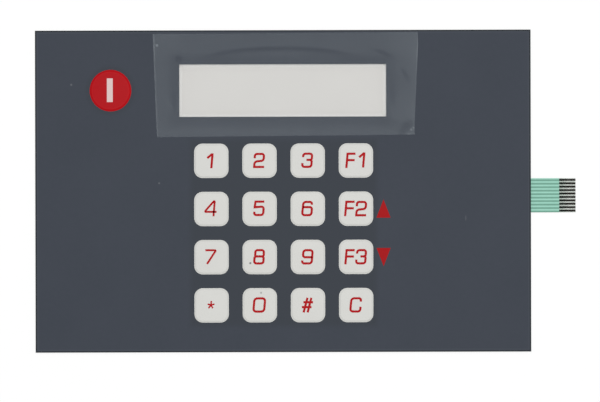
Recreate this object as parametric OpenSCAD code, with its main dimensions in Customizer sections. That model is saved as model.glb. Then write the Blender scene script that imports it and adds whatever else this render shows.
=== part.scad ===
// Membrane keypad: an embossed front sheet over snap domes and a printed circuit film with a flat tail.
// The sheet lies on its back. X runs right, Y up the front, Z out of the keys.
// The origin is the middle of the panel, on its back face.

/* [Panel] */
// Width of the panel
panel_w = 145; // [130:1:180]
// Height of the panel
panel_h = 94.2; // [92:0.1:120]

/* [Layers, from the back] */
// Thickness of the paper release liner
liner_t = 0.1; // [0.08:0.01:0.2]
// Thickness of the mounting adhesive on the back
rear_adhesive_t = 0.13; // [0.05:0.01:0.3]
// Thickness of the printed circuit film and its tail
circuit_t = 0.125; // [0.1:0.005:0.2]
// Thickness of a silver or carbon print
ink_t = 0.02; // [0.01:0.005:0.025]
// Thickness of the green insulating print, from the circuit film up
mask_t = 0.05; // [0.045:0.005:0.08]
// Thickness of the spacer that holds the domes
spacer_t = 0.25; // [0.2:0.01:0.5]
// Thickness of the adhesive under the front sheet
overlay_adhesive_t = 0.05; // [0.05:0.01:0.13]
// Thickness of the front sheet
overlay_t = 0.25; // [0.15:0.01:0.3]
// Thickness of the peel-off film over the window
film_t = 0.06; // [0.04:0.01:0.1]

/* [Square keys] */
// Side of a square key at the foot of its embossed edge
key_side = 10.2; // [9.6:0.1:11]
// Corner radius of a square key
key_corner_r = 2.8; // [1.5:0.1:4]
// Distance between neighbouring keys, both ways
key_pitch = 14.1; // [11.7:0.1:14.4]
// Middle of the block of square keys, right of the middle of the panel
key_block_x = 0.15; // [-4:0.05:4]
// Middle of the block of square keys, above the middle of the panel
key_block_y = -12.2; // [-15:0.1:-12]

/* [Power key] */
// Diameter of the round power key at the foot of its embossed edge
power_key_d = 12.2; // [10:0.1:16]
// Middle of the power key, right of the middle of the panel
power_key_x = -50.5; // [-60:0.5:-44]
// Middle of the power key, above the middle of the panel
power_key_y = 29.5; // [20:0.1:32]

/* [Embossing] */
// Height of the embossed keys above the front sheet
emboss_h = 0.3; // [0.2:0.01:0.5]
// Width of the embossed slope, seen from above
emboss_ramp = 0.7; // [0.4:0.05:1.2]

/* [Display window] */
// Width of the clear window
window_w = 60.5; // [40:0.5:76]
// Height of the clear window
window_h = 15.3; // [10:0.1:19]
// Middle of the window, above the middle of the panel
window_y = 29.4; // [27:0.1:31]
// Margin by which the layers behind are cut out wider than the window
window_margin = 0.6; // [0.3:0.1:1]

/* [Domes] */
// Diameter of a snap dome
dome_d = 8.4; // [7:0.1:9]
// Thickness of the dome's sheet steel
dome_t = 0.06; // [0.04:0.01:0.08]
// Free play between the top of a dome and the embossed key
dome_play = 0.05; // [0.02:0.01:0.1]
// Radius of the four bites that leave the dome its feet
dome_bite_r = 2.6; // [2:0.1:3]
// Distance from the middle of the dome to its bites
dome_waist_r = 3; // [2.8:0.1:3.4]
// Gap between a dome and the wall of its pocket
pocket_gap = 0.25; // [0.15:0.05:0.4]
// Width of the air channels between the pockets
vent_w = 0.8; // [0.5:0.1:1.5]

/* [Conductors] */
// Width of a silver conductor
track_w = 0.5; // [0.3:0.05:0.6]
// Distance between conductors that run side by side in the panel
track_pitch = 1.4; // [1:0.1:1.6]
// Diameter of the pad under the middle of a dome
pad_d = 3; // [2:0.1:4]
// Width of the ring under the feet of a dome
ring_w = 0.9; // [0.7:0.1:1.1]
// Distance that the ring reaches past the dome
ring_margin = 0.1; // [0.05:0.05:0.15]
// Width of the gap in the ring where the pad's conductor leaves
ring_gap_w = 1.8; // [1.2:0.1:2]
// Side of a square opening in the insulating print, under the end of a bridge
via_w = 0.6; // [0.5:0.1:0.7]
// Margin between the green print and the cut edge of the panel
print_margin = 1; // [0.5:0.1:2]

/* [Tail] */
// Width of the tail
tail_w = 10; // [10:0.1:12]
// Length of the tail outside the panel
tail_l = 13.15; // [11:0.05:40]
// Middle of the tail, above the middle of the panel
tail_y = -1.4; // [-2:0.05:0]
// Distance between contacts
contact_pitch = 1; // [1:0.05:1]
// Width of a carbon contact
contact_w = 0.55; // [0.5:0.05:0.7]
// Length of a carbon contact
contact_l = 4.8; // [3:0.1:6]
// Thickness of the stiffener behind the contacts
stiffener_t = 0.175; // [0.1:0.005:0.2]
// Length of the stiffener
stiffener_l = 8; // [6:0.5:10]

/* [Hidden] */
$fn = 64;
// Distance that a cutting shape reaches past what it cuts
cut = 0.5;
// Flat steps that make up the curve of an embossed slope and of a dome
ramp_steps = 4;
dome_steps = 5;
// Width of the flat rim on which a dome's feet stand
dome_rim_w = 0.25;

KEY_ROWS = [["1", "2", "3", "f1"], ["4", "5", "6", "f2"], ["7", "8", "9", "f3"], ["star", "0", "hash", "c"]];
KEY_NAMES = [for (row = KEY_ROWS) each row];
rows = len(KEY_ROWS);
columns = len(KEY_ROWS[0]);
contacts = 2 + columns + rows;

// Heights of the faces between the layers
adhesive_z = liner_t;
circuit_z = adhesive_z + rear_adhesive_t;
print_z = circuit_z + circuit_t;
spacer_z = print_z + mask_t;
overlay_adhesive_z = spacer_z + spacer_t;
overlay_z = overlay_adhesive_z + overlay_adhesive_t;
front_z = overlay_z + overlay_t;

// Places of the keys
function key_x(column) = key_block_x + (column - (columns - 1) / 2) * key_pitch;
function key_y(row) = key_block_y + ((rows - 1) / 2 - row) * key_pitch;
power_key = [power_key_x, power_key_y];

// The dome stands on the silver and reaches up into the embossed key
dome_z = print_z + ink_t;
dome_h = overlay_z + emboss_h - dome_play - dome_z;
pocket_d = dome_d + 2 * pocket_gap;
ring_d = dome_d + 2 * ring_margin;
half_street = (key_pitch - ring_d) / 2;

// The pad's conductor leaves the ring on a diagonal, between two feet of the dome
ring_clear = 1.2;
exit_step = (ring_d / 2 + ring_clear) / sqrt(2);

// Distance from the middle of a street to the openings under a bridge's ends
bridge_reach = half_street - 0.5;

// Where the conductors run and turn on their way to the tail
tail_end_x = panel_w / 2 + tail_l;
corner_ease = 0.8;
bundle_gap = 3.4;
row_turn_x = key_x(columns - 1) + exit_step + bundle_gap;
column_turn_x = row_turn_x + rows * track_pitch + bundle_gap;
column_bus_y = key_y(0) + ring_d / 2 + track_pitch;
power_turn_x = column_turn_x + columns * track_pitch;
power_bus_y = window_y + window_h / 2 + window_margin + bundle_gap;
function contact_y(i) = tail_y + ((contacts - 1) / 2 - i) * contact_pitch;

// Edge of an embossed key, as steps of inset and height from the foot to the flat top
RAMP = [for (i = [0 : ramp_steps]) [emboss_ramp * i / ramp_steps, emboss_h * (1 - cos(180 * i / ramp_steps)) / 2]];

// A path as a band of the track's width, with mitred bends
function unit(v) = v / norm(v);
function left_of(v) = [-v[1], v[0]];
function leg(path, i) = let (k = min(max(i, 0), len(path) - 2)) unit(path[k + 1] - path[k]);
function bend(path, i) =
    let (mitre = unit(left_of(leg(path, i - 1)) + left_of(leg(path, i))))
    mitre / (mitre * left_of(leg(path, i)));
function band(path, w) = [
    for (i = [0 : len(path) - 1]) path[i] + bend(path, i) * w / 2,
    for (i = [len(path) - 1 : -1 : 0]) path[i] - bend(path, i) * w / 2
];

// A path with its right-angled corners eased to 45 degrees
function eased(path) = [
    path[0],
    for (i = [1 : len(path) - 2]) each [
        path[i] - corner_ease * leg(path, i - 1),
        path[i] + corner_ease * leg(path, i)
    ],
    path[len(path) - 1]
];

module track(path) {
    linear_extrude(ink_t) polygon(band(path, track_w));
}

module at_keys() {
    for (row = [0 : rows - 1])
        for (column = [0 : columns - 1])
            translate([key_x(column), key_y(row)]) children();
}

module at_domes() {
    at_keys() children();
    translate(power_key) children();
}

// A flat block of the panel's size between two heights
module panel_layer(z, t) {
    translate([-panel_w / 2, -panel_h / 2, z]) cube([panel_w, panel_h, t]);
}

// The opening behind the window, through one layer
module window_cut(z, t, margin = window_margin) {
    size = [window_w + 2 * margin, window_h + 2 * margin, t + 2 * cut];
    translate([-size[0] / 2, window_y - size[1] / 2, z - cut]) cube(size);
}

// A rounded square block whose edge follows steps of inset and height
module rounded_block(side, corner_r, edge) {
    c = side / 2 - corner_r;
    h = edge[len(edge) - 1][1];
    right = [for (step = edge) [c + corner_r - step[0], step[1]]];
    left = [for (i = [len(edge) - 1 : -1 : 0]) [edge[i][0] - c - corner_r, edge[i][1]]];
    corner = concat([[0, 0]], [for (step = edge) [corner_r - step[0], step[1]]], [[0, h]]);
    for (turn = [0, 90])
        rotate([0, 0, turn]) translate([0, c, 0]) rotate([90, 0, 0])
            linear_extrude(2 * c) polygon(concat(right, left));
    for (turn = [0 : 90 : 270])
        rotate([0, 0, turn]) translate([c, c, 0])
            rotate_extrude(angle = 90) polygon(corner);
}

// A round block with the same kind of edge
module round_block(d, edge) {
    h = edge[len(edge) - 1][1];
    rotate_extrude() polygon(concat([[0, 0]], [for (step = edge) [d / 2 - step[0], step[1]]], [[0, h]]));
}

// All the keys as raised blocks with the given edge
module key_blocks(z, edge) {
    at_keys() translate([0, 0, z]) rounded_block(key_side, key_corner_r, edge);
    translate(power_key) translate([0, 0, z]) round_block(power_key_d, edge);
}

module release_liner() {
    color("ivory") panel_layer(0, liner_t);
}

module rear_adhesive() {
    color("gainsboro") difference() {
        panel_layer(adhesive_z, rear_adhesive_t);
        window_cut(adhesive_z, rear_adhesive_t);
    }
}

module tail_strip(z, t, x_from, x_to) {
    translate([x_from, tail_y - tail_w / 2, z]) cube([x_to - x_from, tail_w, t]);
}

module circuit_film() {
    color("whitesmoke") difference() {
        union() {
            panel_layer(circuit_z, circuit_t);
            tail_strip(circuit_z, circuit_t, 0, tail_end_x);
        }
        window_cut(circuit_z, circuit_t);
    }
}

// Ring and pad under one dome, with the ring open towards the given angle
module contact_pair(gap_angle) {
    difference() {
        cylinder(d = ring_d, h = ink_t);
        translate([0, 0, -cut]) cylinder(d = ring_d - 2 * ring_w, h = ink_t + 2 * cut);
        rotate([0, 0, gap_angle]) translate([0, -ring_gap_w / 2, -cut])
            cube([ring_d, ring_gap_w, ink_t + 2 * cut]);
    }
    cylinder(d = pad_d, h = ink_t);
}

// One row conductor: from the first pad down to its street, along it and out to the tail
module row_conductor(row) {
    street_y = key_y(row) - key_pitch / 2;
    start = [key_x(0), key_y(row)];
    step = [exit_step, -exit_step];
    turn_x = row_turn_x + row * track_pitch;
    end_y = contact_y(2 + columns + row);
    track(concat(
        [start],
        eased([
            start + step,
            [start[0] + exit_step, street_y],
            [turn_x, street_y],
            [turn_x, end_y],
            [tail_end_x, end_y]
        ])
    ));
    for (column = [1 : columns - 1]) {
        pad = [key_x(column), key_y(row)];
        track([pad, pad + step, [pad[0] + exit_step, street_y]]);
    }
}

// One column conductor: the rings linked down the column, and the way out over the keys
module column_conductor(column) {
    x = key_x(column);
    top_y = column_bus_y + (columns - 1 - column) * track_pitch;
    turn_x = column_turn_x + (columns - 1 - column) * track_pitch;
    end_y = contact_y(2 + column);
    track(eased([
        [x, key_y(0) + ring_d / 2 - ring_w / 2],
        [x, top_y],
        [turn_x, top_y],
        [turn_x, end_y],
        [tail_end_x, end_y]
    ]));
    for (row = [0 : rows - 2]) {
        street_y = key_y(row) - key_pitch / 2;
        in_ring = half_street + ring_w / 2;
        if (column == 0)
            track([[x, street_y + in_ring], [x, street_y - in_ring]]);
        else
            for (side = [-1, 1])
                track([[x, street_y + side * in_ring], [x, street_y + side * (bridge_reach - via_w / 2)]]);
    }
}

// The two conductors of the power key, over the window and down to the tail
module power_conductors() {
    step = [exit_step, exit_step];
    track(concat(
        [power_key],
        eased([
            power_key + step,
            [power_key_x + exit_step, power_bus_y],
            [power_turn_x, power_bus_y],
            [power_turn_x, contact_y(1)],
            [tail_end_x, contact_y(1)]
        ])
    ));
    track(eased([
        power_key + [0, ring_d / 2 - ring_w / 2],
        [power_key_x, power_bus_y + track_pitch],
        [power_turn_x + track_pitch, power_bus_y + track_pitch],
        [power_turn_x + track_pitch, contact_y(0)],
        [tail_end_x, contact_y(0)]
    ]));
}

module silver_print() {
    color("silver") translate([0, 0, print_z]) {
        at_keys() contact_pair(-45);
        translate(power_key) contact_pair(45);
        for (row = [0 : rows - 1]) row_conductor(row);
        for (column = [0 : columns - 1]) column_conductor(column);
        power_conductors();
    }
}

// Places where a column has to cross a row conductor
module at_bridges() {
    for (row = [0 : rows - 2])
        for (column = [1 : columns - 1])
            translate([key_x(column), key_y(row) - key_pitch / 2]) children();
}

module via_posts(z, t) {
    for (side = [-1, 1])
        translate([-via_w / 2, side * bridge_reach - via_w / 2, z]) cube([via_w, via_w, t]);
}

module silver_jumpers() {
    length = 2 * bridge_reach + via_w;
    color("silver") at_bridges() {
        translate([-via_w / 2, -length / 2, spacer_z]) cube([via_w, length, ink_t]);
        via_posts(print_z + ink_t, mask_t - ink_t);
    }
}

// Green insulating print: it covers the conductors and leaves the contact pairs and the fingers bare
module dielectric_print() {
    color("mediumseagreen") difference() {
        union() {
            translate([print_margin - panel_w / 2, print_margin - panel_h / 2, print_z])
                cube([panel_w - 2 * print_margin, panel_h - 2 * print_margin, mask_t]);
            tail_strip(print_z, mask_t, 0, tail_end_x - contact_l);
        }
        window_cut(print_z, mask_t, window_margin + print_margin);
        at_domes() translate([0, 0, print_z - cut]) cylinder(d = pocket_d, h = mask_t + 2 * cut);
        silver_print();
        at_bridges() via_posts(print_z, mask_t + cut);
    }
}

// Carbon contacts: each one is a cap over the end of a silver conductor
module carbon_contacts() {
    color("black")
        for (i = [0 : contacts - 1])
            translate([tail_end_x - contact_l, contact_y(i), print_z]) difference() {
                translate([0, -contact_w / 2, 0]) cube([contact_l, contact_w, 2 * ink_t]);
                translate([-cut, -track_w / 2, -cut]) cube([contact_l + 2 * cut, track_w, ink_t + cut]);
            }
}

module tail_stiffener() {
    color("white") tail_strip(circuit_z - stiffener_t, stiffener_t, tail_end_x - stiffener_l, tail_end_x);
}

// Spacer film with a pocket for each dome, air channels between the pockets and room for the bridges
module dome_spacer() {
    channel_z = spacer_z - cut;
    channel_t = spacer_t + 2 * cut;
    color("lightgray") difference() {
        panel_layer(spacer_z, spacer_t);
        window_cut(spacer_z, spacer_t);
        at_domes() translate([0, 0, channel_z]) cylinder(d = pocket_d, h = channel_t);
        for (row = [0 : rows - 1])
            translate([key_x(0), key_y(row) - vent_w / 2, channel_z])
                cube([key_x(columns - 1) - key_x(0), vent_w, channel_t]);
        translate([key_x(0) - vent_w / 2, key_y(rows - 1), channel_z])
            cube([vent_w, key_y(0) - key_y(rows - 1), channel_t]);
        translate([power_key_x - vent_w / 2, key_y(0) - vent_w / 2, channel_z])
            cube([vent_w, power_key_y - key_y(0) + vent_w / 2, channel_t]);
        translate([power_key_x - vent_w / 2, key_y(0) - vent_w / 2, channel_z])
            cube([key_x(0) - power_key_x, vent_w, channel_t]);
        silver_jumpers();
    }
}

// Snap dome: a thin sprung shell on four feet
module snap_dome() {
    r = dome_d / 2;
    rim_r = r - dome_rim_w;
    crown = [for (i = [0 : dome_steps]) let (t = i / dome_steps) [r * t, dome_h * (1 - t * t)]];
    hollow = [for (i = [dome_steps : -1 : 0]) let (t = i / dome_steps) [rim_r * t, (dome_h - dome_t) * (1 - t * t)]];
    color("lightsteelblue") difference() {
        rotate_extrude() polygon(concat(crown, hollow));
        for (angle = [45 : 90 : 315])
            rotate([0, 0, angle]) translate([dome_waist_r + dome_bite_r, 0, -cut])
                cylinder(r = dome_bite_r, h = dome_h + 2 * cut);
    }
}

module overlay_adhesive() {
    color("gainsboro") difference() {
        panel_layer(overlay_adhesive_z, overlay_adhesive_t);
        window_cut(overlay_adhesive_z, overlay_adhesive_t);
        key_blocks(overlay_adhesive_z - cut, [[0, 0], [0, overlay_adhesive_t + 2 * cut]]);
    }
}

// Front sheet: one film, pressed up at each key with the hollow of the same form behind
module overlay() {
    color("#44494f") difference() {
        union() {
            panel_layer(overlay_z, overlay_t);
            key_blocks(front_z, RAMP);
        }
        key_blocks(overlay_z, RAMP);
    }
}

// Peel-off film, cut by hand: a little askew and not quite straight
module protective_film() {
    outline = [
        [-38.1, 46.05], [-0.8, 46.2], [39.45, 46.5], [39.6, 42.8], [39.35, 36.6], [38.92, 26.6], [38.62, 19],
        [38.55, 16.38], [-0.9, 16.15], [-36.87, 15.87], [-37.1, 19.2], [-37.43, 26.7], [-37.72, 37], [-38, 43.4]
    ];
    color("lightslategray", 0.6) translate([0, 0, front_z]) linear_extrude(film_t) polygon(outline);
}

release_liner();
rear_adhesive();
circuit_film();
silver_print();
dielectric_print();
silver_jumpers();
carbon_contacts();
tail_stiffener();
dome_spacer();
translate([power_key_x, power_key_y, dome_z]) snap_dome();  // dome_power
for (row = [0 : rows - 1])
    for (column = [0 : columns - 1])
        translate([key_x(column), key_y(row), dome_z]) snap_dome();
overlay_adhesive();
overlay();
protective_film();
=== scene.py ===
import math

import bmesh
import bpy
from mathutils import Matrix, Vector


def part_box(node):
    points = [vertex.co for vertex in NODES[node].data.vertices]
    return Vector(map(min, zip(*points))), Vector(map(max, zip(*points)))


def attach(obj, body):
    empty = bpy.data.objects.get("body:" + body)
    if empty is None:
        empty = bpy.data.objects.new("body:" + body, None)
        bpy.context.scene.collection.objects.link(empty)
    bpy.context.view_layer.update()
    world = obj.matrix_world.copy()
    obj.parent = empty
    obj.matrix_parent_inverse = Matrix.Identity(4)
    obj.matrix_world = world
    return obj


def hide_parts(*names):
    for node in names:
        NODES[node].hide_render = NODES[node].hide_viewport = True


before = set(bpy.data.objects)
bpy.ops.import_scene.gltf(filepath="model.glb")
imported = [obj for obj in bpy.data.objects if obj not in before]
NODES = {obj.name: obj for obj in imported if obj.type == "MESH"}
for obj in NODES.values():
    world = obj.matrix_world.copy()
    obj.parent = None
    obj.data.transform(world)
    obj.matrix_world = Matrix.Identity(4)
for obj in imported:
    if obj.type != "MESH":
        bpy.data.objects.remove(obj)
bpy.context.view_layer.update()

MM = 0.001

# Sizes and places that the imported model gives
PANEL_LOW, PANEL_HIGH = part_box("release_liner")
SHEET_LOW, SHEET_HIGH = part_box("overlay")
FILM_LOW, FILM_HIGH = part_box("protective_film")
TAIL_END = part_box("circuit_film")[1].x
FINGERS_LOW, FINGERS_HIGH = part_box("carbon_contacts")
FRONT_Z = FILM_LOW.z
SHEET_T = FRONT_Z - SHEET_LOW.z
KEY_RISE = SHEET_HIGH.z - FRONT_Z

# Sizes of the print and the embossing
INK_T = 0.015 * MM
KEY_SIDE = 10.15 * MM
KEY_CORNER_R = 2.5 * MM
KEY_OFFSET = Vector((0.015, -0.03)) * MM
POWER_D = 12.3 * MM
PRINT_INSET = 0.05 * MM
RAMP_W = 0.7 * MM
RAMP_STEPS = 8
CORNER_STEPS = 10
DISC_STEPS = 72
SHARP_ANGLE = 40
WINDOW_SIZE = Vector((60.55, 15.37)) * MM
WINDOW_MIDDLE = Vector((-0.05, 29.46)) * MM
POWER_OFFSET = Vector((0.08, 0.02)) * MM
BAR_SIZE = Vector((1.73, 6.93)) * MM
BAR_OFFSET = Vector((-0.09, 0.12)) * MM
ARROW_X = 29.36 * MM
ARROW_SIZE = Vector((4.15, 5.38)) * MM
ARROW_DROP = 0.12 * MM

# Lettering, in millimetres: y 0 is the middle of the stroke along the foot of a letter, and each
# stroke of a letter lies one small step lower than the one before it
STROKE_W = 0.65
FINE_STROKE_W = 0.57
STAR_STROKE_W = 0.44
STROKE_STEP = 0.001
FOOT_Y = -1.87
SLANT = 0.09
TOP = 3.8
MID = 2.0
HALF = STROKE_W / 2
BEND = 0.65
BEND_STEPS = 6

# Strokes of each letter as points x, y and bend radius; a stroke that ends in None is closed
LETTERS = {
    "1": [[(-1.42, 2.58, 0), (-0.12, 3.72, 0)], [(0, TOP + 0.12, 0), (0, -HALF, 0)]],
    "2": [[(-1.49, 2.55, 0), (-1.55, TOP, BEND), (1.21, TOP, BEND), (1.28, 1.82, 0.75),
           (-1.49, 1.58, 0.8), (-1.43, 0, 0), (1.57, 0, 0)]],
    "3": [[(-1.42, 2.8, 0), (-1.43, TOP, BEND), (1.17, TOP, BEND), (1.2, MID, 0.5), (-0.35, MID, 0)],
          [(0.5, MID, 0), (1.2, MID, 0.5), (1.23, 0, BEND), (-1.47, 0, BEND), (-1.48, 1.08, 0)]],
    "4": [[(0.9, -0.36, 0), (0.9, 4.4, 0.7), (-1.83, 0.93, 0.45), (1.69, 0.93, 0)]],
    "5": [[(1.2, TOP, 0), (-1.4, TOP, 0), (-1.5, 2.22, 0), (1.18, 2.4, 0.75), (1.18, 0, BEND),
           (-1.5, 0, BEND), (-1.48, 0.95, 0)]],
    "6": [[(1.15, 3.0, 0), (1.15, TOP, BEND), (-1.45, TOP, 0.75), (-1.5, 0, 0.75), (1.27, 0, 0.75),
           (1.27, 2.3, BEND), (-1.35, 2.3, 0)]],
    "7": [[(-1.9, TOP, 0), (1.02, TOP, 0.35), (-1.12, -0.2, 0)]],
    "8": [[(-1.4, 0, BEND), (1.27, 0, BEND), (1.17, MID, 0.55), (-1.5, MID, 0.55), None],
          [(-0.6, MID, 0), (-1.3, MID, 0.5), (-1.4, TOP, BEND), (1.1, TOP, BEND), (1.2, MID, 0.5),
           (0.5, MID, 0)]],
    "9": [[(-1.48, 0.85, 0), (-1.45, 0, BEND), (1.21, 0, 0.75), (1.18, TOP, 0.75), (-1.4, TOP, 0.75),
           (-1.36, 1.78, BEND), (1.1, 1.78, 0)]],
    "0": [[(-1.73, 0, 0.85), (1.36, 0, 0.85), (1.36, TOP, 0.85), (-1.73, TOP, 0.85), None]],
    "C": [[(1.3, 2.8, 0), (1.3, 3.76, BEND), (-1.5, 3.76, 0.8), (-1.55, 0, 0.8), (1.34, 0, BEND),
           (1.34, 1.35, 0)]],
    "F": [[(0, -HALF, 0), (0, TOP, 0), (2.33, TOP, 0)], [(0, 1.95, 0), (2.25, 1.95, 0)]],
    "#": [[(-1.05, -HALF, 0), (-0.3, TOP + HALF, 0)], [(0.1, -HALF, 0), (0.8, TOP + HALF, 0)],
          [(-1.37, 2.77, 0), (1.41, 2.77, 0)], [(-1.68, 1.3, 0), (1.1, 1.3, 0)]],
    "*": [[(-0.18, 1.92, 0), (-0.18, 3.15, 0)], [(-0.18, 1.92, 0), (0.83, 2.22, 0)],
          [(-0.18, 1.92, 0), (0.47, 1, 0)], [(-0.18, 1.92, 0), (-0.83, 1, 0)],
          [(-0.18, 1.92, 0), (-1.19, 2.22, 0)]],
}

# What stands on each key: each letter with its place right of and above the key's middle, and how
# wide and how high it is beside its strokes above
LEGENDS = {
    "1": [("1", 0.22, 0.04, 1, 1.025)], "2": [("2", 0.015, 0.005, 0.962, 1)],
    "3": [("3", 0, 0.033, 0.986, 1.012)],
    "f1": [("F", -2.587, -0.015, 0.995, 1.014), ("1", 2.287, 0.168, 0.976, 1.035)],
    "5": [("5", 0.035, 0.108, 0.986, 1.027)],
    "6": [("6", -0.02, 0.006, 0.974, 1.018)],
    "f2": [("F", -2.979, 0.011, 1.04, 1.023), ("2", 1.631, -0.049, 0.958, 1.024)],
    "8": [("8", -0.02, 0.037, 1, 1.022)], "9": [("9", 0, -0.006, 1.05, 1.016)],
    "f3": [("F", -2.941, -0.003, 1.017, 1), ("3", 1.603, -0.021, 0.981, 1.016)],
    "0": [("0", 0.041, 0.045, 1.014, 1.018)], "hash": [("#", -0.023, -0.026, 1.02, 0.967)],
    "c": [("C", -0.042, 0.028, 1.004, 1.024)],
}
FINE_LEGENDS = {"4": [("4", -0.085, 0.075, 1, 1)], "7": [("7", 0.086, 0.073, 1.069, 1.005)]}
STAR_LEGEND = {"star": [("*", 0, 0.024, 0.987, 0.986)]}

# The hand-cut outline of the protective film, in millimetres, anticlockwise from its top left corner
FILM_OUTLINE = [
    (-38.02, 46.05), (-37.92, 43.4), (-37.68, 37), (-37.33, 26.7), (-37, 19.2), (-36.78, 15.87),
    (-0.9, 16.15), (38.5, 16.46), (38.5, 19), (38.8, 26.6), (39.3, 36.6), (39.6, 42.8),
    (39.45, 46.5), (-0.8, 46.2),
]
FILM_TOP_LEFT = (-38.1, 46.05)
FILM_FOOT_RIGHT = (38.5, 16.4)
FILM_LEAN = 0.04
FILM_GRID = 1.6 * MM
FILM_SEAT = 0.01 * MM
FILM_LIFT = 0.05 * MM
LOOSE_CORNER = (39, 16.5)
LOOSE_CORNER_W = 4

# The bubble along the film's top, in millimetres: its line is an arc that droops at the ends
ARC_X = -0.6
ARC_TOP = 41.7
ARC_BEND = 0.00254
ARC_DROOP = 0.0000059
ARC_REACH = 20.5
ARC_W = 1.1

# How much of the clear film is seen, from 0 to 1, and what its marks add to that or take from it
FILM_SEEN = 0.0365
HAZE_SEEN = 0.006
CUT_EDGE_SEEN = 0.06
GLINT_SEEN = 0.12
RIGHT_SIDE_SEEN = 0.008
FOOT_SEEN = 0.006
CREASE_HIDES = 0.024
BUBBLE_HIDES = 0.0025
WINDOW_EDGE_HIDES = 0.0105
WINDOW_TOP_HIDES = 0.0035
WINDOW_RIGHT_SHOWS = 0.005

# Marks, in millimetres. A speck is x, y, radius and strength, and a long mark is x, y, its turn in
# degrees, length, width and strength. A cloudy patch's strength adds to how much of the film is seen
CREASE_SPECKS = [(-30.4, 38.9, 1.5, 0.6)]
CREASES = [
    (-21.5, 38.3, 0, 10, 1.3, 0.25), (22.5, 38.3, 0, 17, 1.3, 0.25), (29.2, 40.4, -21, 8, 1.9, 0.8),
    (36, 33.8, -60, 8, 1.7, 0.65), (35.9, 18.5, 50, 8, 3.8, 0.85), (32.2, 28, 90, 11, 2.2, 0.4),
    (-31.8, 26, 90, 10, 2, 0.3),
]
GLINT_SPECKS = [(-36.8, 42.7, 0.5, 1), (37.5, 17.9, 0.4, 0.8), (38.2, 18.5, 0.35, 0.6)]
GLINTS = [
    (38, 22.5, -88, 12, 0.9, 0.06), (36.9, 16.8, 0, 4, 0.6, 0.2), (-37.5, 41.5, 92, 10, 0.8, 0.15),
    (-33.3, 25.3, -55, 6.5, 1.4, 0.09), (28.2, 44.6, -52, 3.2, 0.6, 0.14),
]
CLOUDY_PATCHES = [(34.5, 24, 5, 0.008), (39, 45, 10, 0.008), (-35, 45, 7, 0.004)]
DUST_SPECKS = [(-61.9, 31.25, 0.4, 0.25), (-36.25, 2.4, 0.36, 0.24)]
DUST_FIBRES = [(53.42, -8.0, 90, 2.2, 0.6, 0.12)]

# Dark specks under the keys' film: x, y and radius, then strength and colour
KEY_SPECKS = [
    ((-9.63, -21.04, 0.42), 0.75, (70, 70, 80)),
    ((-6.5, -29.7, 0.42), 0.5, (120, 118, 120)),
]

# Soft edges, in millimetres. A fade has its start and its end, and a band also has, between them,
# the places where it is full and where it starts to ebb
# Painted shade around the power key
POWER_PAINTED_SHADE = (0.05, 1.85)
# A painted highlight ring on the power key's embossed rim
POWER_RIM_HIGHLIGHT = (-1.15, -0.75, -0.45, -0.05)
# Painted shade along the sheet's cut edge, and a painted highlight line just inside it
SHEET_EDGE_SHADE = (0.32, 0.5)
SHEET_EDGE_HIGHLIGHT = (0.45, 0.55, 0.75, 0.9)
LEFT_CUT = (0.25, 0.6)
LEFT_CUT_TOP = (28, 34)
RIGHT_CUT = (0.2, 0.45)
RIGHT_CUT_TOP = (32, 40)
RIGHT_SIDE = (0.5, 4)
FILM_FOOT = (17.4, 19.6)
BUBBLE_LINE = (-1.5, 0.05, 0.1, ARC_W)
BUBBLE_LINE_MIDDLE_X = -1.5
BUBBLE_LINE_ENDS = (13, 25)
BUBBLE_MIDDLE_X = -2
BUBBLE_ENDS = (20, 33)
BUBBLE_FOOT = (38, 41)
WINDOW_SHADE = (1.2, 4.2)
WINDOW_SHADE_TOP = (25, 34)
WINDOW_SHADE_RIGHT = (29, 32)
# Painted light on the liner along the window's edges
LINER_PAINTED_LIGHT_RIM = (-0.5, 0, 0.2, 1)
LINER_FRONT = (0.04, 0.08)

# The block of painted shade that the keys stand in, in millimetres
KEY_SHADE_MIDDLE = (0.15, -12.2)
KEY_SHADE_SIDE = 57
KEY_SHADE_BLUR = 2.5

# The tracks on the tail, seen through the green print, in millimetres
TRACK_SHIFT = -0.18
TRACK_MIDDLE_Y = (FINGERS_HIGH.y + FINGERS_LOW.y) / 2 / MM + TRACK_SHIFT
TRACK_W = 0.5
TRACK_PITCH = 1.018
TRACK_BLUR = 0.08

# Camera and light
VIEW_WIDTH = 175.53 * MM
VIEW_MIDDLE = Vector((4.94, -2.9)) * MM
VIEW_ROLL = math.radians(-0.14)
LENS = 100
SENSOR = 36
NEAREST_SEEN = 0.01
AMBIENT = 0.42
LAMP_SIZE = 0.9
LAMP_PLACE = Vector((0.05, 0.12, 1.0))
LAMP_WATTS = 6.95
FLOOR_WIDTH = 6.0
FLOOR_DROP = 0.02 * MM
FLOOR_GREY = (0.25, 0.25, 0.25, 1)
FLOOR_GLOW = 0.765


def middle(node):
    low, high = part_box(node)
    return (low + high) / 2


def tone(red, green, blue):
    """A colour as it looks on screen, from 0 to 255, as the linear colour that a shader takes."""
    parts = [part / 255 for part in (red, green, blue)]
    return (*[((part + 0.055) / 1.055) ** 2.4 if part > 0.04 else part / 12.92 for part in parts], 1)


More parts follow.
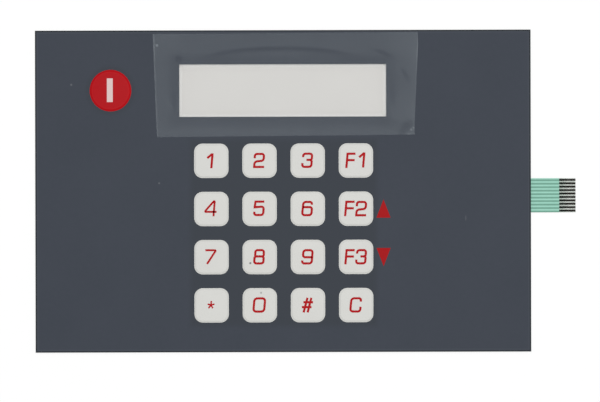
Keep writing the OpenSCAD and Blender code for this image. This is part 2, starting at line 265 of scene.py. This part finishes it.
class Value:
    """A number that varies over a surface. Sums on it add Math nodes."""

    def __init__(self, nodes, socket):
        self.nodes = nodes
        self.socket = socket

    def maths(self, operation, first, second=0.0):
        return self.nodes.add("Math", {"operation": operation}, {0: first, 1: second})

    def __add__(self, other):
        return self.maths("ADD", self, other)

    def __radd__(self, other):
        return self.maths("ADD", other, self)

    def __sub__(self, other):
        return self.maths("SUBTRACT", self, other)

    def __rsub__(self, other):
        return self.maths("SUBTRACT", other, self)

    def __mul__(self, other):
        return self.maths("MULTIPLY", self, other)

    def __rmul__(self, other):
        return self.maths("MULTIPLY", other, self)

    def __truediv__(self, other):
        return self.maths("DIVIDE", self, other)

    def __pow__(self, other):
        return self.maths("POWER", self, other)

    def __abs__(self):
        return self.maths("ABSOLUTE", self)

    def __and__(self, other):
        return self.maths("MINIMUM", self, other)

    def __or__(self, other):
        return self.maths("MAXIMUM", self, other)


class Nodes:
    """The nodes of a material or of the world."""

    def __init__(self, tree):
        self.tree = tree

    def feed(self, socket, value):
        if isinstance(value, Value):
            self.tree.links.new(value.socket, socket)
        else:
            socket.default_value = value

    def add(self, kind, settings=None, inputs=None, output=0):
        """Adds a node of this kind, sets it, feeds its sockets and gives one of its outputs."""
        node = self.tree.nodes.new("ShaderNode" + kind)
        for name, setting in (settings or {}).items():
            setattr(node, name, setting)
        for name, value in (inputs or {}).items():
            self.feed(node.inputs[name], value)
        return Value(self, node.outputs[output])

    def seen(self):
        """1 where the eye, a reflection or clear film looks, and 0 for the light on the object."""
        camera = self.add("LightPath", output="Is Camera Ray")
        glossy = self.add("LightPath", output="Is Glossy Ray")
        clear = self.add("LightPath", output="Is Transmission Ray")
        return camera | glossy | clear


class Finish(Nodes):
    """A material whose patterns lie in the object's own millimetres."""

    def __init__(self, name):
        self.material = bpy.data.materials.new(name)
        self.material.use_nodes = True
        super().__init__(self.material.node_tree)
        self.shader = self.tree.nodes["Principled BSDF"]
        self.place = self.add("TexCoord", output="Object")
        self.x, self.y, self.z = [
            self.add("SeparateXYZ", inputs={0: self.place}, output=axis) / MM for axis in "XYZ"
        ]

    def surface(self, values):
        for name, value in values.items():
            self.feed(self.shader.inputs[name], value)
        return self.material

    def grain(self, size, detail=2.0, stretch=(1, 1, 1)):
        """Noise about 0.5, with features of this size in millimetres."""
        where = self.add("Mapping", inputs={"Vector": self.place, "Scale": stretch})
        return self.add("TexNoise", inputs={"Vector": where, "Scale": 1 / (size * MM), "Detail": detail})

    def fade(self, value, start, end):
        """0 below start, 1 above end and smooth in between."""
        inputs = {"Value": value, "From Min": start, "From Max": end}
        return self.add("MapRange", {"interpolation_type": "SMOOTHSTEP"}, inputs)

    def band(self, value, start, full, ebb, end):
        """0 below start and above end, 1 from full to ebb and smooth in between."""
        return self.fade(value, start, full) * (1 - self.fade(value, ebb, end))

    def distance(self, x, y):
        return ((self.x - x) ** 2 + (self.y - y) ** 2) ** 0.5

    def spot(self, x, y, radius):
        return 1 - self.fade(self.distance(x, y), radius * 0.5, radius)

    def streak(self, x, y, angle, length, width):
        """A soft mark as a long oval, turned by an angle in degrees."""
        turn = math.radians(angle)
        along = (self.x - x) * math.cos(turn) + (self.y - y) * math.sin(turn)
        across = (self.y - y) * math.cos(turn) - (self.x - x) * math.sin(turn)
        reach = ((along * (2 / length)) ** 2 + (across * (2 / width)) ** 2) ** 0.5
        return 1 - self.fade(reach, 0.35, 1)

    def marks(self, specks, long_marks=()):
        """Specks and long marks together: the strongest one at each place."""
        each = [self.spot(*place) * strength for *place, strength in specks]
        each += [self.streak(*place) * strength for *place, strength in long_marks]
        strongest = each.pop()
        for mark in each:
            strongest = strongest | mark
        return strongest

    def box_depth(self, middle_x, middle_y, width, height):
        """How far inside a rectangle's edge a point lies, in millimetres; it is negative outside."""
        side = width / 2 - abs(self.x - middle_x)
        end = height / 2 - abs(self.y - middle_y)
        return side & end

    def window_depth(self):
        return self.box_depth(*WINDOW_MIDDLE / MM, *WINDOW_SIZE / MM)

    def from_power_rim(self):
        """How far outside the power key's rim a point lies, in millimetres; it is negative inside."""
        x, y = (middle("dome_power").xy + POWER_OFFSET) / MM
        return self.distance(x, y) - POWER_D / MM / 2

    def mix(self, share, first, second):
        return self.add("Mix", {"data_type": "RGBA"}, {0: share, 6: first, 7: second}, output=2)

    def bump(self, height, depth):
        """Relief of this depth in millimetres."""
        return self.add("Bump", inputs={"Height": height, "Distance": depth * MM}, output="Normal")


def behind_film(finish, shade):
    """A printed shade seen through the front film, with that film's fine silky texture."""
    fine = finish.grain(0.12, 3.0)
    return finish.surface({
        "Base Color": shade,
        "Roughness": 0.4 + fine * 0.16,
        "Specular IOR Level": 0.1,
        "Normal": finish.bump(fine, 0.004),
    })


def dark_print():
    """The dark field: painted shade around the keys and along the cut edge, a painted highlight line
    just inside that edge, and a little dust.
    """
    finish = Finish("dark_print")
    cloud = finish.grain(22, 3.0)
    mottle = finish.grain(1.3, 4.0)
    shade = finish.mix(cloud * 0.6 + mottle * 0.4, tone(55.5, 61.3, 70.2), tone(63.5, 68.3, 78.2))
    # Painted shade: the field is darker around the block of keys and around the power key
    key_shade_depth = finish.box_depth(*KEY_SHADE_MIDDLE, KEY_SHADE_SIDE, KEY_SHADE_SIDE)
    painted_shade_by_keys = finish.fade(key_shade_depth, 0, KEY_SHADE_BLUR)
    painted_shade_by_power_key = 1 - finish.fade(finish.from_power_rim(), *POWER_PAINTED_SHADE)
    shade = finish.mix(painted_shade_by_keys | painted_shade_by_power_key * 0.8, shade, tone(55.7, 60.7, 68.2))
    size = (PANEL_HIGH - PANEL_LOW) / MM
    depth = finish.box_depth(0, 0, size.x, size.y)
    # Painted highlight: a paler line just inside the sheet's cut edge
    painted_highlight_line = finish.band(depth, *SHEET_EDGE_HIGHLIGHT)
    shade = finish.mix(painted_highlight_line * 0.5, shade, tone(70, 75, 84))
    # Painted shade: the field darkens along the sheet's cut edge
    painted_shade_edge = 1 - finish.fade(depth, *SHEET_EDGE_SHADE)
    shade = finish.mix(painted_shade_edge, shade, tone(38, 43, 48))
    dust = finish.marks(DUST_SPECKS, DUST_FIBRES)
    return behind_film(finish, finish.mix(dust, shade, tone(150, 152, 155)))


def white_print():
    """The keys' off-white, with dark specks under the film."""
    finish = Finish("white_print")
    shade = finish.mix(finish.grain(6, 3.0), tone(214, 214, 210), tone(220, 220, 216))
    for place, strength, colour in KEY_SPECKS:
        shade = finish.mix(finish.spot(*place) * strength, shade, tone(*colour))
    return behind_film(finish, shade)


def bar_print():
    """The bar on the power key: white ink with the red shining through."""
    finish = Finish("bar_print")
    shade = finish.mix(finish.grain(1.5, 3.0), tone(218, 194, 192), tone(224, 200, 198))
    return behind_film(finish, shade)


def red_print(name, low, high, highlight_share=0.0):
    """The red of the lettering, the arrows or the power key, which has a painted highlight as a brighter
    ring on its rim.
    """
    finish = Finish(name)
    shade = finish.mix(finish.grain(1.4, 4.0), tone(*low), tone(*high))
    # Painted highlight: a brighter red ring on the embossed rim, given a share only on the power key
    painted_highlight_ring = finish.band(finish.from_power_rim(), *POWER_RIM_HIGHLIGHT)
    return behind_film(finish, finish.mix(painted_highlight_ring * highlight_share, shade, tone(186, 13, 22)))


def arc_y(x):
    """Where the line of the bubble under the film runs, at a place across the window, in millimetres."""
    off = (x - ARC_X) ** 2
    return ARC_TOP - off * ARC_BEND - off ** 2 * ARC_DROOP


def clear_sheet():
    """The clear part of the front film, over the display window."""
    finish = Finish("clear_sheet")
    fine = finish.grain(0.3, 2.0)
    return finish.surface({
        "Base Color": finish.mix(finish.grain(9), tone(205, 204, 200), tone(214, 213, 209)),
        "Roughness": 0.18 + fine * 0.1,
        "Specular IOR Level": 0.3,
        "Alpha": 0.01 + finish.grain(12) * 0.006,
        "Normal": finish.bump(fine, 0.001),
    })


def film_cut_edges(finish, from_left, from_right):
    """The film's cut sides, where the light catches their nicks: the right one more towards its top."""
    nicks = finish.fade(finish.grain(1.6, 2.0), 0.35, 0.6)
    left_share = 0.3 + nicks * 0.35 + finish.fade(finish.y, *LEFT_CUT_TOP) * 0.1
    right_share = 0.25 + finish.fade(finish.y, *RIGHT_CUT_TOP) * 0.4
    left = (1 - finish.fade(from_left, *LEFT_CUT)) * left_share
    right = (1 - finish.fade(from_right, *RIGHT_CUT)) * right_share
    return left | right


def bubble_line(finish):
    """The dark line of the bubble, softer on its lower side and fading out towards its ends."""
    line = finish.band(finish.y - arc_y(finish.x), *BUBBLE_LINE)
    return line * (1 - finish.fade(abs(finish.x - BUBBLE_LINE_MIDDLE_X), *BUBBLE_LINE_ENDS))


def window_shade(finish):
    """What the film's haze loses around the window: more above it and less at its right."""
    beside = 1 - finish.fade(0 - finish.window_depth(), *WINDOW_SHADE)
    above = finish.fade(finish.y, *WINDOW_SHADE_TOP) * WINDOW_TOP_HIDES
    right = finish.fade(finish.x, *WINDOW_SHADE_RIGHT) * WINDOW_RIGHT_SHOWS
    return beside * (WINDOW_EDGE_HIDES + above - right)


def peel_off_film():
    """Thin clear film: a faint haze, brighter at its cut edges and darker where it is creased."""
    finish = Finish("peel_off_film")
    haze = finish.grain(7, 3.0, (1, 2.4, 1))
    brushed = finish.grain(0.9, 4.0, (1, 5, 1))
    left_x, left_y = FILM_TOP_LEFT
    right_x, right_y = FILM_FOOT_RIGHT
    from_left = finish.x - left_x - (left_y - finish.y) * FILM_LEAN
    from_right = right_x + (finish.y - right_y) * FILM_LEAN - finish.x
    cut = film_cut_edges(finish, from_left, from_right)
    glint = finish.marks(GLINT_SPECKS, GLINTS)
    crease = bubble_line(finish) | finish.marks(CREASE_SPECKS, CREASES)
    across_bubble = 1 - finish.fade(abs(finish.x - BUBBLE_MIDDLE_X), *BUBBLE_ENDS)
    bubble = across_bubble * finish.fade(finish.y, *BUBBLE_FOOT)
    right_side = 1 - finish.fade(from_right, *RIGHT_SIDE)
    foot = 1 - finish.fade(finish.y, *FILM_FOOT)
    shown = FILM_SEEN + (haze + brushed) * HAZE_SEEN + cut * CUT_EDGE_SEEN + glint * GLINT_SEEN
    shown = shown + right_side * RIGHT_SIDE_SEEN + foot * FOOT_SEEN
    for *place, strength in CLOUDY_PATCHES:
        shown = shown + finish.spot(*place) * strength
    shown = shown - window_shade(finish) - bubble * BUBBLE_HIDES - crease * CREASE_HIDES
    return finish.surface({
        "Base Color": finish.mix(haze, tone(186, 197, 204), tone(196, 207, 214)),
        "Roughness": 0.22 + brushed * 0.12,
        "Specular IOR Level": 0.25,
        "Alpha": shown,
        "Normal": finish.bump(haze * 0.8 + brushed * 0.2, 0.005),
    })


def clear_polyester():
    """The circuit's clear film, with a breath of green beside the insulation on the tail."""
    finish = Finish("clear_polyester")
    cloud = finish.grain(5, 2.0)
    start = FINGERS_LOW.x / MM
    by_print = 1 - finish.fade(finish.x, start, start + 3)
    shade = finish.mix(cloud, tone(212, 224, 215), tone(222, 234, 225))
    return finish.surface({
        "Base Color": finish.mix(by_print * 0.6, shade, tone(150, 184, 166)),
        "Roughness": 0.2 + finish.grain(0.6) * 0.12,
        "Specular IOR Level": 0.4,
        "Alpha": 0.14 + cloud * 0.05 + by_print * 0.06,
        "Normal": finish.bump(cloud, 0.01),
    })


def white_polyester():
    finish = Finish("white_polyester")
    cloud = finish.grain(3, 3.0)
    return finish.surface({
        "Base Color": finish.mix(cloud, tone(246, 248, 244), tone(252, 254, 250)),
        "Roughness": 0.38 + finish.grain(0.4) * 0.12,
        "Specular IOR Level": 0.3,
        "Normal": finish.bump(cloud, 0.006),
    })


def liner_paper():
    """Coated release paper, with painted light that makes it paler along the edges of the window."""
    finish = Finish("liner_paper")
    fibres = finish.grain(0.5, 5.0, (1, 3, 1))
    cloud = finish.grain(14, 3.0)
    shade = finish.mix(fibres * 0.4 + cloud * 0.6, tone(229, 227, 223), tone(237, 235, 231))
    front = finish.fade(finish.z, *LINER_FRONT)
    # Painted light: the liner's front is paler along the window's edges, against the shade cast by the
    # walls of the well
    edge = finish.band(finish.window_depth(), *LINER_PAINTED_LIGHT_RIM) * front
    return finish.surface({
        "Base Color": finish.mix(edge, shade, tone(254, 253, 250)),
        "Roughness": 0.55 + fibres * 0.2,
        "Specular IOR Level": 0.15,
        "Normal": finish.bump(fibres, 0.008),
    })


def clear_adhesive():
    finish = Finish("clear_adhesive")
    cloud = finish.grain(2.5, 4.0)
    return finish.surface({
        "Base Color": finish.mix(cloud, tone(196, 193, 182), tone(212, 209, 199)),
        "Roughness": 0.3 + cloud * 0.2,
        "Specular IOR Level": 0.3,
        "Normal": finish.bump(cloud, 0.01),
    })


def silver_ink():
    finish = Finish("silver_ink")
    flake = finish.grain(0.06, 3.0)
    return finish.surface({
        "Base Color": finish.mix(flake, tone(176, 174, 168), tone(206, 204, 198)),
        "Metallic": 0.55 + flake * 0.3,
        "Roughness": 0.4 + flake * 0.2,
        "Normal": finish.bump(flake, 0.004),
    })


def green_insulation():
    """The green print over the tail, darker where a track runs under it."""
    finish = Finish("green_insulation")
    step = (finish.y - TRACK_MIDDLE_Y) / TRACK_PITCH
    off_track = abs(step - step.maths("FLOOR", step) - 0.5)
    track = 1 - finish.fade(off_track, TRACK_W / 2 - TRACK_BLUR, TRACK_W / 2 + TRACK_BLUR)
    panel_edge = PANEL_HIGH.x / MM
    track = track * finish.fade(finish.x, panel_edge - 1, panel_edge)
    cloud = finish.grain(1.1, 4.0)
    mesh = finish.grain(0.09, 2.0)
    light = finish.mix(cloud, tone(148, 205, 186), tone(162, 215, 197))
    dark = finish.mix(cloud, tone(101, 153, 134), tone(115, 167, 148))
    return finish.surface({
        "Base Color": finish.mix(track, light, dark),
        "Roughness": 0.42 + cloud * 0.14,
        "Specular IOR Level": 0.25,
        "Normal": finish.bump(track * 0.8 + mesh * 0.2, 0.012),
    })


def carbon_ink():
    """The black contacts, a little paler towards the end of the tail."""
    finish = Finish("carbon_ink")
    grit = finish.grain(0.05, 4.0)
    tail_end = TAIL_END / MM
    worn = finish.fade(finish.x, tail_end - 4, tail_end - 1) * (0.5 + grit * 0.5)
    return finish.surface({
        "Base Color": finish.mix(worn, tone(0, 8, 4), tone(30, 23, 20)),
        "Roughness": 0.5 + grit * 0.25,
        "Specular IOR Level": 0.1,
        "Normal": finish.bump(grit, 0.006),
    })


def spring_steel():
    finish = Finish("spring_steel")
    rolled = finish.grain(0.08, 3.0, (1, 14, 1))
    return finish.surface({
        "Base Color": finish.mix(rolled, tone(188, 190, 194), tone(210, 212, 214)),
        "Metallic": 1.0,
        "Roughness": 0.24 + rolled * 0.16,
        "Normal": finish.bump(rolled, 0.002),
    })


FINISHES = {
    "dark": dark_print(),
    "white": white_print(),
    "power red": red_print("power_red", (171, 4, 15), (179, 8, 21), 0.45),
    "legend red": red_print("legend_red", (169, 2, 10), (178, 6, 17)),
    "arrow red": red_print("arrow_red", (161, 3, 9), (167, 7, 14)),
    "bar": bar_print(),
    "clear": clear_sheet(),
    "film": peel_off_film(),
    "circuit": clear_polyester(),
    "polyester": white_polyester(),
    "liner": liner_paper(),
    "adhesive": clear_adhesive(),
    "silver": silver_ink(),
    "green": green_insulation(),
    "carbon": carbon_ink(),
    "steel": spring_steel(),
}


def piece(name, bm, finishes):
    """Makes a finished mesh a piece of the keypad."""
    mesh = bpy.data.meshes.new(name)
    bm.to_mesh(mesh)
    bm.free()
    made = bpy.data.objects.new(name, mesh)
    bpy.context.scene.collection.objects.link(made)
    for finish in finishes:
        mesh.materials.append(FINISHES[finish])
    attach(made, "root")
    return made


def smooth(bm):
    """Shades the faces smooth, apart from the edges that turn sharply."""
    for face in bm.faces:
        face.smooth = True
    for edge in bm.edges:
        edge.smooth = edge.calc_face_angle(0) < math.radians(SHARP_ANGLE)


def round_corners(bm, corners, radius, steps):
    bmesh.ops.bevel(
        bm, geom=corners, offset=radius, offset_type="OFFSET", segments=steps,
        profile=0.5, affect="VERTICES", material=-1,
    )


def flat_face(bm, points, z, radius=0.0):
    """A flat face through the points, anticlockwise, with rounded corners."""
    before = set(bm.faces)
    corners = [bm.verts.new((x, y, z)) for x, y in points]
    bm.faces.new(corners)
    if radius:
        round_corners(bm, corners, radius, CORNER_STEPS)
    return next(face for face in bm.faces if face not in before)


def thicken(bm, depth):
    """Makes the faces so far a closed solid that reaches this far below them."""
    shell = bmesh.ops.extrude_face_region(bm, geom=[*bm.faces, *bm.edges, *bm.verts], use_keep_orig=True)
    back = [item for item in shell["geom"] if isinstance(item, bmesh.types.BMVert)]
    bmesh.ops.translate(bm, verts=back, vec=(0, 0, -depth))
    bmesh.ops.recalc_face_normals(bm, faces=bm.faces[:])


def rectangle(centre, size):
    x, y = centre[0], centre[1]
    w, h = size[0] / 2, size[1] / 2
    return [(x - w, y - h), (x + w, y - h), (x + w, y + h), (x - w, y + h)]


def disc_face(bm, centre, radius, z):
    before = set(bm.faces)
    place = Matrix.Translation((centre[0], centre[1], z))
    bmesh.ops.create_circle(bm, cap_ends=True, radius=radius, segments=DISC_STEPS, matrix=place)
    return next(face for face in bm.faces if face not in before)


def emboss(bm, top, field):
    """Raises a key: a narrow dark foot, then the slope and the flat top in the key's own print."""
    bmesh.ops.inset_individual(bm, faces=[top], thickness=PRINT_INSET, depth=0, use_even_offset=True)
    rise = KEY_RISE - INK_T
    width = (RAMP_W - PRINT_INSET) / RAMP_STEPS
    for step in range(RAMP_STEPS):
        low, high = [(1 - math.cos(math.pi * s / RAMP_STEPS)) / 2 for s in (step, step + 1)]
        slope = bmesh.ops.inset_individual(
            bm, faces=[top], thickness=width, depth=rise * (high - low), use_even_offset=True
        )
        for face in slope["faces"]:
            face.material_index = field
    top.material_index = field


def front_sheet():
    """The embossed overlay: one film with dark, white, red and clear fields."""
    bm = bmesh.new()
    dark, white, red, clear = range(4)
    panel = flat_face(bm, rectangle((0, 0), SHEET_HIGH.xy - SHEET_LOW.xy), FRONT_Z)
    panel_edges = panel.edges[:]
    bmesh.ops.delete(bm, geom=[panel], context="FACES_ONLY")
    keys = []
    for name in [*LEGENDS, *FINE_LEGENDS, *STAR_LEGEND]:
        outline = rectangle(middle("dome_" + name).xy + KEY_OFFSET, (KEY_SIDE, KEY_SIDE))
        keys.append(flat_face(bm, outline, FRONT_Z, KEY_CORNER_R))
    power = disc_face(bm, middle("dome_power").xy + POWER_OFFSET, POWER_D / 2, FRONT_Z)
    window = flat_face(bm, rectangle(WINDOW_MIDDLE, WINDOW_SIZE), FRONT_Z)
    holes = [edge for face in [*keys, power, window] for edge in face.edges]
    bmesh.ops.triangle_fill(bm, edges=panel_edges + holes, use_beauty=True, normal=(0, 0, 1))
    for face in bm.faces:
        face.material_index = dark
    window.material_index = clear
    for key in keys:
        emboss(bm, key, white)
    emboss(bm, power, red)
    thicken(bm, SHEET_T)
    smooth(bm)
    sheet = piece("overlay_sheet", bm, ["dark", "white", "power red", "clear"])
    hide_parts("overlay")


def stroke(bm, points, centre, z):
    """A wall along the middle of one stroke, as high as the ink is thick, for Solidify to widen."""
    closed = points[-1] is None
    points = [point for point in points if point]
    before = set(bm.verts)
    corners = [bm.verts.new((x, y, 0)) for x, y, _ in points]
    for pair in zip(corners, corners[1:]):
        bm.edges.new(pair)
    if closed:
        bm.edges.new((corners[-1], corners[0]))
    for corner, (*_, bend) in zip(corners, points):
        if bend:
            round_corners(bm, [corner], bend, BEND_STEPS)
    path = [vert for vert in bm.verts if vert not in before]
    slanted = Matrix(((1, SLANT, 0, 0), (0, 1, 0, 0), (0, 0, 1, 0), (0, 0, 0, 1)))
    foot = Matrix.Translation((0, FOOT_Y, 0))
    place = Matrix.Translation((centre[0], centre[1], z)) @ Matrix.Scale(MM, 4)
    bmesh.ops.transform(bm, verts=path, matrix=place @ slanted @ foot)
    path_edges = {edge for vert in path for edge in vert.link_edges}
    wall = bmesh.ops.extrude_edge_only(bm, edges=list(path_edges))
    top = [item for item in wall["geom"] if isinstance(item, bmesh.types.BMVert)]
    bmesh.ops.translate(bm, verts=top, vec=(0, 0, 2 * INK_T))
    faces = [item for item in wall["geom"] if isinstance(item, bmesh.types.BMFace)]
    bmesh.ops.recalc_face_normals(bm, faces=faces)


def fitted(points, x, y, wide, high):
    """A stroke's points, stretched about the middle of the letter and moved to x and y on the key."""
    middle_y = TOP / 2
    return [point and (x + point[0] * wide, y + middle_y + (point[1] - middle_y) * high, point[2])
            for point in points]


def legends(name, lettering, width):
    """Red figures and letters on the keys, in strokes of one width."""
    foot_z = SHEET_HIGH.z - 2 * INK_T
    bm = bmesh.new()
    for key, letters in lettering.items():
        strokes = [fitted(points, *place) for letter, *place in letters for points in LETTERS[letter]]
        for level, points in enumerate(strokes):
            stroke(bm, points, middle("dome_" + key), foot_z - level * STROKE_STEP * MM)
    lettered = piece(name, bm, ["legend red"])
    solid = lettered.modifiers.new("stroke_width", "SOLIDIFY")
    solid.thickness = width * MM
    solid.offset = 0
    solid.use_even_offset = True
    solid.use_rim = True


def print_field(name, points, z, finish):
    """A flat field of ink, sunk by its own thickness into what it lies on."""
    bm = bmesh.new()
    flat_face(bm, points, z + INK_T)
    thicken(bm, 2 * INK_T)
    piece(name, bm, [finish])


def symbols():
    """The bar on the power key and the two arrows beside the keys."""
    bar = rectangle(middle("dome_power").xy + BAR_OFFSET, BAR_SIZE)
    print_field("power_bar", bar, SHEET_HIGH.z - INK_T, "bar")
    width, height = ARROW_SIZE / 2
    arrows = [("arrow_up", "dome_f2", 1, 0), ("arrow_down", "dome_f3", -1, ARROW_DROP)]
    for name, key, way, drop in arrows:
        y = middle(key).y - drop
        base_y, tip_y = y - way * height, y + way * height
        corners = [(ARROW_X - way * width, base_y), (ARROW_X + way * width, base_y), (ARROW_X, tip_y)]
        print_field(name, corners, FRONT_Z, "arrow red")


def film_lift(x, y):
    """How far the film stands off the sheet, along its bubble's line and at its loose corner."""
    off_arc = y - arc_y(x)
    arc = math.exp(-((off_arc / ARC_W) ** 2)) * max(0.0, 1 - abs(x - ARC_X) / ARC_REACH)
    corner_x, corner_y = LOOSE_CORNER
    off_corner = math.hypot(x - corner_x, y - corner_y)
    corner = math.exp(-((off_corner / LOOSE_CORNER_W) ** 2))
    return (arc + corner) * FILM_LIFT


def protective_film():
    """The peel-off film over the window, lifted a hair where it didn't stick."""
    bm = bmesh.new()
    flat_face(bm, [(x * MM, y * MM) for x, y in FILM_OUTLINE], FILM_HIGH.z)
    for axis in (0, 1):
        cuts = int((FILM_HIGH[axis] - FILM_LOW[axis]) / FILM_GRID)
        way = Vector((0, 0, 0))
        way[axis] = 1
        for cut in range(1, cuts):
            place = way * (FILM_LOW[axis] + cut * FILM_GRID)
            everything = [*bm.verts, *bm.edges, *bm.faces]
            bmesh.ops.bisect_plane(bm, geom=everything, plane_co=place, plane_no=way)
    for vert in bm.verts:
        vert.co.z += film_lift(vert.co.x / MM, vert.co.y / MM)
    thicken(bm, FILM_HIGH.z - FILM_LOW.z - FILM_SEAT)
    smooth(bm)
    film = piece("window_film", bm, ["film"])
    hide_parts("protective_film")


def finish_kept_nodes():
    """The finishes of the pieces that keep their modelled shape."""
    kept = {
        "release_liner": "liner", "rear_adhesive": "adhesive", "overlay_adhesive": "adhesive",
        "circuit_film": "circuit", "silver_print": "silver", "silver_jumpers": "silver",
        "dielectric_print": "green", "carbon_contacts": "carbon", "tail_stiffener": "polyester",
        "dome_spacer": "polyester",
    }
    domes = {name: "steel" for name in NODES if name.startswith("dome_") and name != "dome_spacer"}
    for name, finish in {**kept, **domes}.items():
        mesh = NODES[name].data
        mesh.materials.clear()
        mesh.materials.append(FINISHES[finish])


def studio():
    """A white room: what the eye sees of it is white, and its light on the keypad is plain."""
    world = bpy.data.worlds.new("white_room")
    bpy.context.scene.world = world
    world.use_nodes = True
    room = Nodes(world.node_tree)
    backdrop = world.node_tree.nodes["Background"]
    backdrop.inputs["Color"].default_value = (1, 1, 1, 1)
    room.feed(backdrop.inputs["Strength"], AMBIENT + room.seen() * (1 - AMBIENT))

    lamp = bpy.data.lights.new("soft_box", "AREA")
    lamp.size = LAMP_SIZE
    lamp.energy = LAMP_WATTS
    soft_box = bpy.data.objects.new("soft_box", lamp)
    soft_box.location = LAMP_PLACE
    soft_box.rotation_mode = "QUATERNION"
    soft_box.rotation_quaternion = (-LAMP_PLACE).to_track_quat("-Z", "Y")
    bpy.context.scene.collection.objects.link(soft_box)


def floor():
    """A pale table. It glows a little to the eye, so that it looks white and still holds a shadow."""
    bm = bmesh.new()
    place = Matrix.Translation((0, 0, PANEL_LOW.z - FLOOR_DROP))
    bmesh.ops.create_grid(bm, x_segments=1, y_segments=1, size=FLOOR_WIDTH / 2, matrix=place)
    mesh = bpy.data.meshes.new("floor")
    bm.to_mesh(mesh)
    bm.free()
    table = bpy.data.objects.new("floor", mesh)
    bpy.context.scene.collection.objects.link(table)
    finish = Finish("pale_floor")
    finish.surface({
        "Base Color": FLOOR_GREY,
        "Roughness": 0.9,
        "Specular IOR Level": 0.0,
        "Emission Color": finish.seen() * FLOOR_GLOW,
        "Emission Strength": 1.0,
    })
    mesh.materials.append(finish.material)


def camera():
    """Straight above, as far off as the lens needs to take in the view's width."""
    data = bpy.data.cameras.new("camera")
    data.lens = LENS
    data.sensor_width = SENSOR
    data.clip_start = NEAREST_SEEN
    eye = bpy.data.objects.new("camera", data)
    eye.location = (*VIEW_MIDDLE, FRONT_Z + VIEW_WIDTH * LENS / SENSOR)
    eye.rotation_euler = (0, 0, VIEW_ROLL)
    bpy.context.scene.collection.objects.link(eye)
    bpy.context.scene.camera = eye


camera()
studio()
floor()
front_sheet()
legends("key_legends", LEGENDS, STROKE_W)
legends("fine_legends", FINE_LEGENDS, FINE_STROKE_W)
legends("star_legend", STAR_LEGEND, STAR_STROKE_W)
symbols()
protective_film()
finish_kept_nodes()

bpy.context.scene.view_settings.view_transform = "Standard"
